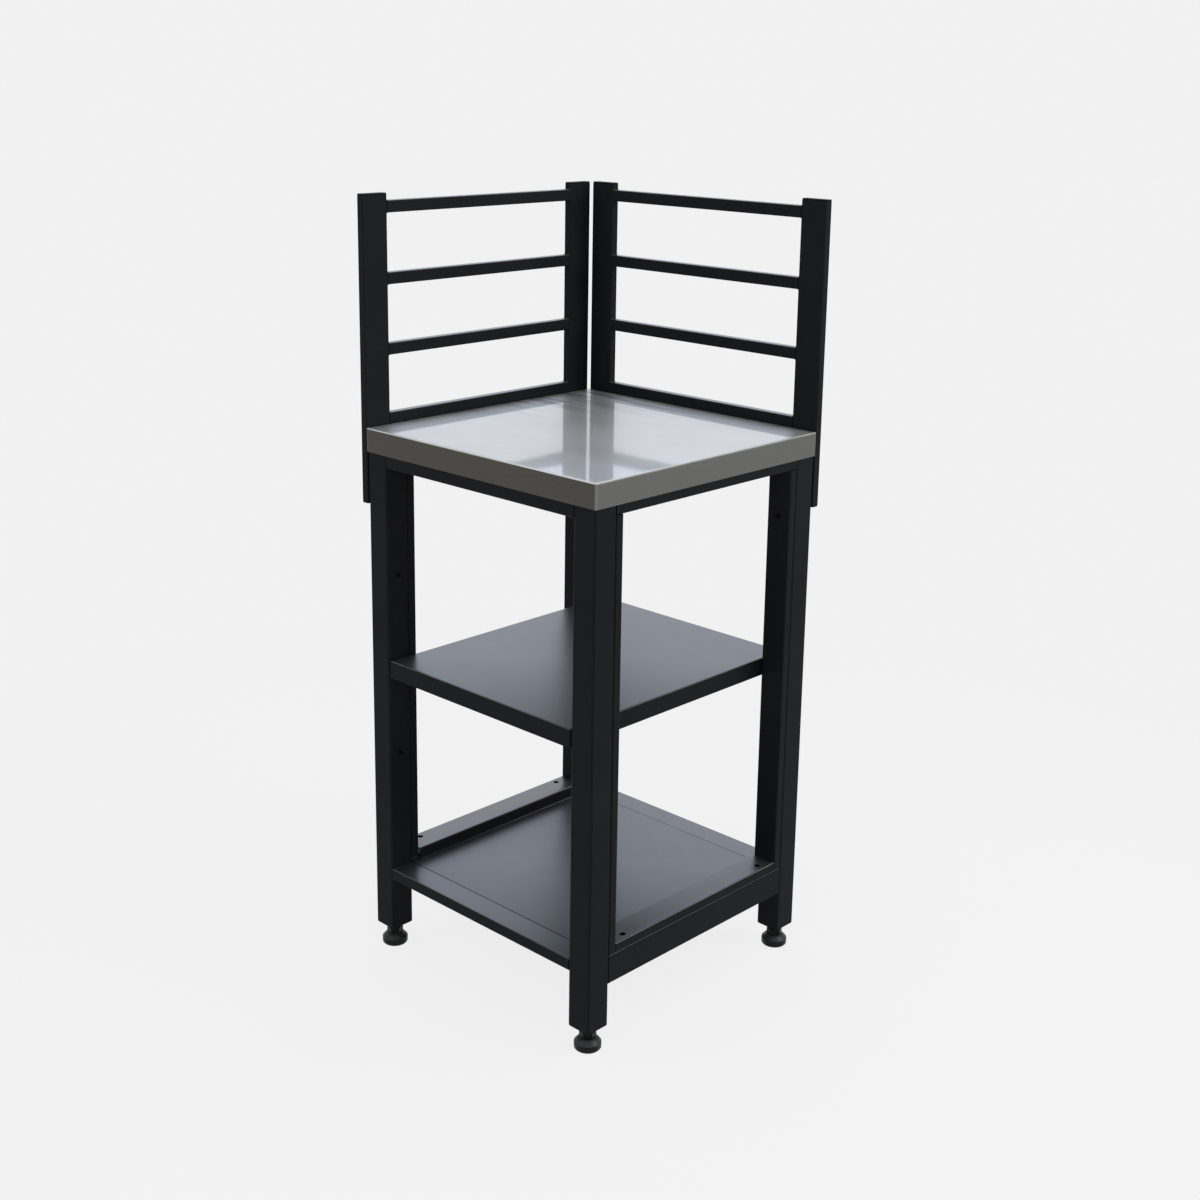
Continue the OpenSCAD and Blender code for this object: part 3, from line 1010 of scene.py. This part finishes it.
    def cut_off(self, mesh: Mesh, height: float, outward: float) -> None:
        """Cuts a thread off square and closes the cut.

        Args:
            mesh: the thread.
            height: where it is cut.
            outward: 1 when what lies above goes, -1 when what lies below goes.
        """
        cut = bmesh.ops.bisect_plane(
            mesh,
            geom=mesh.verts[:] + mesh.edges[:] + mesh.faces[:],
            plane_co=(0.0, 0.0, height),
            plane_no=(0.0, 0.0, outward),
            clear_outer=True,
        )
        rim = [item for item in cut["geom_cut"] if isinstance(item, bmesh.types.BMEdge)]
        bmesh.ops.contextual_create(mesh, geom=rim)

    def hexagon(self, mesh: Mesh, bottom: float) -> None:
        """Adds the hexagon, chamfered as a turned nut is.

        Args:
            mesh: the mesh of the stud, which the hexagon joins.
            bottom: the height of its underside.
        """
        block = bmesh.new()
        corner_radius = self.hexagon_flats / math.sqrt(3.0)
        bmesh.ops.create_circle(block, cap_ends=True, segments=self.hexagon_sides, radius=corner_radius)
        bmesh.ops.subdivide_edges(block, edges=block.edges[:], cuts=self.hexagon_steps, use_grid_fill=False)
        raised(block, block.faces[:], self.hexagon_height)
        for face in [face for face in block.faces if abs(face.normal.z) > MOSTLY_UP]:
            bmesh.ops.inset_region(block, faces=[face], thickness=self.hexagon_chamfer, depth=0.0)
        bmesh.ops.translate(block, verts=block.verts, vec=(0.0, 0.0, bottom))
        middle = bottom + self.hexagon_height / 2
        flat_radius = self.hexagon_flats / 2 - self.hexagon_chamfer / 2
        slope = math.tan(math.radians(self.hexagon_slope))
        for vert in block.verts:
            spare = math.hypot(vert.co.x, vert.co.y) - flat_radius
            if spare > 0.0:
                vert.co.z += slope * spare * (1.0 if vert.co.z < middle else -1.0)
        turn = Matrix.Rotation(math.radians(STUD_TURNS[self.corner]), 3, "Z")
        bmesh.ops.rotate(block, verts=block.verts, cent=ORIGIN, matrix=turn)
        join(mesh, block)


@dataclass
class Guard:
    """One guard: two flat uprights, four bars, the caps, and the weld at each end of each bar."""

    side: Side
    upright_names: tuple[str, str]
    bars: int = 4
    flare: float = 0.0010
    flare_steps: int = 5
    edge_round: float = 0.0012
    edge_steps: int = 4
    stand_proud: float = 0.0001

    def build(self, finishes: Finishes) -> None:
        """Dresses the tubes and makes the welds.

        Args:
            finishes: the shared finishes.
        """
        kind = self.side.value
        bars = [f"{kind}_bar_{count}" for count in range(1, self.bars + 1)]
        uprights = [f"{kind}_upright_{name}" for name in self.upright_names]
        dress(finishes.tube, *bars, *uprights)
        dress(finishes.trim, f"{kind}_guard_caps")
        self.welds(bars, finishes.tube)

    def welds(self, bars: list[str], material: bpy.types.Material) -> None:
        """Makes the ground weld at each end of each bar, as one piece.

        Args:
            bars: the bars' nodes.
            material: the coat over the welds.
        """
        along = Vector((0.0, 1.0, 0.0)) if self.side is Side.LEFT else Vector((1.0, 0.0, 0.0))
        mesh = bmesh.new()
        for bar in bars:
            low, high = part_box(bar)
            centre = (low + high) / 2
            half = (high - low).dot(along) / 2
            for way in (-1.0, 1.0):
                self.one_weld(mesh, high - low, centre + along * half * way, along * -way)
        finished_piece(f"{self.side.value}_guard_welds", mesh, material, FRAME_BODY)

    def one_weld(self, mesh: Mesh, size: Vector, end: Vector, inward: Vector) -> None:
        """Adds a concave flare between a bar and its upright.

        Args:
            mesh: the mesh that the weld joins.
            size: the bar's size.
            end: the middle of the bar's end, on the upright's face.
            inward: the direction from the upright along the bar.
        """
        height = size.z
        across = inward.cross(Vector(UP))
        thick = abs(size.dot(across)) + 2 * self.stand_proud
        block = bmesh.new()
        bmesh.ops.create_grid(block, x_segments=1, y_segments=1, size=UNIT_HALF)
        bmesh.ops.scale(block, verts=block.verts, vec=(thick, height + 2 * self.flare, 1.0))
        rounded(block, block.verts[:], self.edge_round, self.edge_steps)
        front = block.faces[:]
        for step in range(1, self.flare_steps + 1):
            turn = math.pi / 2 * step / self.flare_steps
            before = math.pi / 2 * (step - 1) / self.flare_steps
            rise = self.flare * (math.cos(before) - math.cos(turn))
            tall = height + 2 * self.flare * (1.0 - math.sin(turn))
            tall_before = height + 2 * self.flare * (1.0 - math.sin(before))
            grown = bmesh.ops.extrude_face_region(block, geom=front)["geom"]
            front = [item for item in grown if isinstance(item, bmesh.types.BMFace)]
            ring = [item for item in grown if isinstance(item, bmesh.types.BMVert)]
            bmesh.ops.scale(block, verts=ring, vec=(1.0, tall / tall_before, 1.0))
            bmesh.ops.translate(block, verts=ring, vec=(0.0, 0.0, rise))
        place = Matrix((across, Vector(UP), inward)).transposed().to_4x4()
        place.translation = end
        bmesh.ops.transform(block, matrix=place, verts=block.verts)
        join(mesh, block)


@dataclass
class LegPlug:
    """The moulded plug in a leg's lower end: a flange with rounded edges, and the sleeve inside the tube."""

    corner: Corner
    flange_height: float = 0.0040
    flange_radius: float = 0.0040
    edge_round: float = 0.0034
    edge_steps: int = 5
    thread_radius: float = 0.0083
    sleeve_inset: float = 0.0022

    def build(self, material: bpy.types.Material) -> None:
        """Makes the plug.

        Args:
            material: its finish.
        """
        name = f"plug_{self.corner.value}"
        low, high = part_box(name)
        half = (high.x - low.x) / 2
        mesh = bmesh.new()
        bmesh.ops.create_grid(mesh, x_segments=1, y_segments=1, size=half)
        rounded(mesh, mesh.verts[:], self.flange_radius, self.edge_steps)
        bmesh.ops.delete(mesh, geom=mesh.faces[:], context="FACES_ONLY")
        outline = mesh.edges[:]
        hole = bmesh.ops.create_circle(mesh, cap_ends=False, segments=len(outline), radius=self.thread_radius)
        rim = list({edge for vert in hole["verts"] for edge in vert.link_edges})
        bmesh.ops.bridge_loops(mesh, edges=outline + rim)
        raised(mesh, mesh.faces[:], self.flange_height)
        top = [face for face in mesh.faces if face.normal.z > MOSTLY_UP and face.calc_center_median().z > 0.0]
        bmesh.ops.inset_region(mesh, faces=top, thickness=self.sleeve_inset, depth=0.0)
        raised(mesh, top, high.z - low.z - self.flange_height)
        lowest = [edge for edge in mesh.edges if self.is_lowest(edge, half - self.flange_radius)]
        rounded(mesh, lowest, self.edge_round, self.edge_steps, "EDGES")
        bmesh.ops.translate(mesh, verts=mesh.verts, vec=((low.x + high.x) / 2, (low.y + high.y) / 2, low.z))
        plug = finished_piece(f"moulded_{name}", mesh, material, FRAME_BODY)
        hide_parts(name)

    def is_lowest(self, edge: bmesh.types.BMEdge, reach: float) -> bool:
        """Whether an edge runs round the outside of the flange's lower face.

        Args:
            edge: the edge.
            reach: how far out the outer edges start.

        Returns:
            True for those edges.
        """
        for vert in edge.verts:
            if abs(vert.co.z) >= FLOOR_DISTANCE or max(map(abs, vert.co.xy)) <= reach:
                return False
        return any(abs(face.normal.z) < MOSTLY_SIDEWAYS for face in edge.link_faces)


@dataclass
class Stand:
    """The welded stand: legs, posts and rails, with the plugs in the legs' lower ends."""

    rails: tuple[str, ...] = (
        "lower_rail_left",
        "lower_rail_right",
        "lower_cross_front",
        "lower_cross_back",
        "upper_rail_front",
        "upper_rail_back",
        "upper_rail_left",
        "upper_rail_right",
    )

    def build(self, finishes: Finishes) -> None:
        """Dresses the tubes and makes the plugs.

        Args:
            finishes: the shared finishes.
        """
        legs = [f"{part}_{corner.value}" for part in ("leg", "post") for corner in Corner]
        dress(finishes.tube, *legs, *self.rails)
        for corner in Corner:
            LegPlug(corner).build(finishes.trim)


@dataclass
class Sheets:
    """The worktop on its board, the middle shelf and the bottom tray."""

    def build(self, finishes: Finishes) -> None:
        """Dresses the sheets and the board.

        Args:
            finishes: the shared finishes.
        """
        dress(finishes.steel, "worktop_sheet")
        dress(finishes.board, "worktop_board")
        dress(finishes.sheet, "middle_shelf")
        dress(finishes.tray, "bottom_tray")


@dataclass
class Fasteners:
    """Bolts, washers and threaded inserts."""

    bright: tuple[str, ...] = ("guard_bolts", "guard_washers", "shelf_bolts", "shelf_washers")
    black: tuple[str, ...] = ("guard_inserts", "shelf_inserts", "post_inserts")

    def build(self, finishes: Finishes) -> None:
        """Dresses the fasteners.

        Args:
            finishes: the shared finishes.
        """
        dress(finishes.zinc, *self.bright)
        dress(finishes.stud, *self.black)


@dataclass
class Lamp:
    """One soft lamp of the studio."""

    name: str
    place: Place
    width: float
    power: float
    target: Place = (0.0, 0.0, 0.65)
    colour: Colour = WHITE
    mirrored: bool = False

    def build(self) -> None:
        """Hangs the lamp and turns it to its target."""
        data = bpy.data.lights.new(self.name, "AREA")
        data.shape = "SQUARE"
        data.size = self.width
        data.energy = self.power
        data.color = self.colour
        lamp = bpy.data.objects.new(self.name, data)
        lamp.location = self.place
        aim = Vector(self.target) - Vector(self.place)
        lamp.rotation_mode = "QUATERNION"
        lamp.rotation_quaternion = aim.to_track_quat("-Z", "Y")
        lamp.visible_glossy = self.mirrored
        lamp.visible_camera = False
        bpy.context.scene.collection.objects.link(lamp)


@dataclass
class Studio:
    """The pale floor, the soft lamps, the plain surroundings and the camera."""

    paper: float = 0.882
    floor_reach: float = 14.0
    floor_steps: int = 96
    floor_shadow_share: float = 0.06
    floor_shadow_reach: Range = (0.8, 2.0)
    floor_bounce: float = 0.75
    surround_light: float = 0.40
    picture_width: float = 1200.0
    sensor: float = 36.0
    nearest: float = 0.05
    farthest: float = 60.0
    focal_pixels: float = 1711.40
    centre_x: float = 593.94
    centre_y: float = 490.0
    azimuth: float = 43.8182
    elevation: float = 14.0190
    roll: float = 0.8195
    camera_place: Place = (1.9205, -1.9944, 1.5140)

    def lamps(self) -> list[Lamp]:
        """The lamps, by their work.

        Returns:
            The lamps.
        """
        return [
            Lamp(name="key_right", place=(2.4, 1.3, 2.4), width=1.8, power=60.0, mirrored=True),
            Lamp(name="fill_front", place=(-1.0, -3.0, 2.6), width=2.4, power=32.0),
            Lamp(name="fill_corner", place=(2.0, -2.6, 3.0), width=1.6, power=24.0),
            Lamp(name="top", place=(0.0, 0.3, 3.9), width=2.8, power=70.0),
            Lamp(
                name="window_back_left",
                place=(-2.9, 2.9, 3.3),
                width=2.8,
                power=9.0,
                colour=(0.05, 0.40, 1.0),
                mirrored=True,
            ),
        ]

    def build(self) -> None:
        """Makes the whole studio."""
        self.surroundings()
        self.floor()
        for lamp in self.lamps():
            lamp.build()
        self.camera()
        bpy.context.scene.view_settings.view_transform = "Standard"

    def surroundings(self) -> None:
        """Lights the object evenly from all round and shows the paper's colour behind it."""
        world = bpy.data.worlds.new("surroundings")
        bpy.context.scene.world = world
        world.use_nodes = True
        graph = Graph(world.node_tree)
        light = graph.white("ShaderNodeBackground", self.surround_light)
        paper = graph.white("ShaderNodeBackground", self.paper)
        graph.end("ShaderNodeOutputWorld", graph.choice(graph.seen(), light, paper))

    def floor(self) -> None:
        """Lays the paper floor."""
        mesh = bmesh.new()
        bmesh.ops.create_circle(mesh, cap_ends=True, segments=self.floor_steps, radius=self.floor_reach)
        data = bpy.data.meshes.new("paper_floor")
        mesh.to_mesh(data)
        mesh.free()
        data.materials.append(self.paper_material())
        floor = bpy.data.objects.new("paper_floor", data)
        bpy.context.scene.collection.objects.link(floor)

    def paper_material(self) -> bpy.types.Material:
        """The paper: plain for the lamps' light, and the background's own level where it is seen.

        Returns:
            The material.
        """
        s = Shading("paper")
        glow = s.white("ShaderNodeEmission", self.paper * (1.0 - self.floor_shadow_share))
        near = s.node("ShaderNodeAddShader")
        s.put(near.inputs[0], s.matt(self.paper * self.floor_shadow_share))
        s.put(near.inputs[1], glow)
        far = s.white("ShaderNodeEmission", self.paper)
        distance = s.node("ShaderNodeVectorMath", operation="LENGTH")
        s.put(distance.inputs[0], s.place.outputs["Object"])
        away = s.span(distance.outputs["Value"], self.floor_shadow_reach, shape="SMOOTHSTEP")
        shown = s.choice(away, near.outputs[0], far)
        s.end("ShaderNodeOutputMaterial", s.choice(s.seen(), s.matt(self.floor_bounce), shown))
        return s.material

    def camera(self) -> None:
        """Sets the camera close to the photograph's place, with a lens shift that suits other views too."""
        data = bpy.data.cameras.new("camera")
        data.sensor_width = self.sensor
        data.lens = self.focal_pixels * self.sensor / self.picture_width
        data.shift_x = (self.picture_width / 2 - self.centre_x) / self.picture_width
        data.shift_y = (self.centre_y - self.picture_width / 2) / self.picture_width
        data.clip_start = self.nearest
        data.clip_end = self.farthest
        turn = math.radians(self.azimuth)
        rise = math.radians(self.elevation)
        lean = math.radians(self.roll)
        back = Vector((math.sin(turn) * math.cos(rise), -math.cos(turn) * math.cos(rise), math.sin(rise)))
        level = (-back).cross(Vector(UP)).normalized()
        above = level.cross(-back)
        right = level * math.cos(lean) + above * math.sin(lean)
        up = above * math.cos(lean) - level * math.sin(lean)
        camera = bpy.data.objects.new("camera", data)
        pose = Matrix((right, up, back)).transposed().to_4x4()
        pose.translation = self.camera_place
        camera.matrix_world = pose
        bpy.context.scene.collection.objects.link(camera)
        bpy.context.scene.camera = camera


def main() -> None:
    finishes = Finishes()
    Stand().build(finishes)
    Sheets().build(finishes)
    Guard(Side.LEFT, ("front", "back")).build(finishes)
    Guard(Side.BACK, ("left", "right")).build(finishes)
    Fasteners().build(finishes)
    for corner in Corner:
        LevellingFoot(corner).build(finishes)
    Studio().build()


if __name__ == "__main__":
    logging.basicConfig(level=logging.INFO, format="%(message)s")
    main()
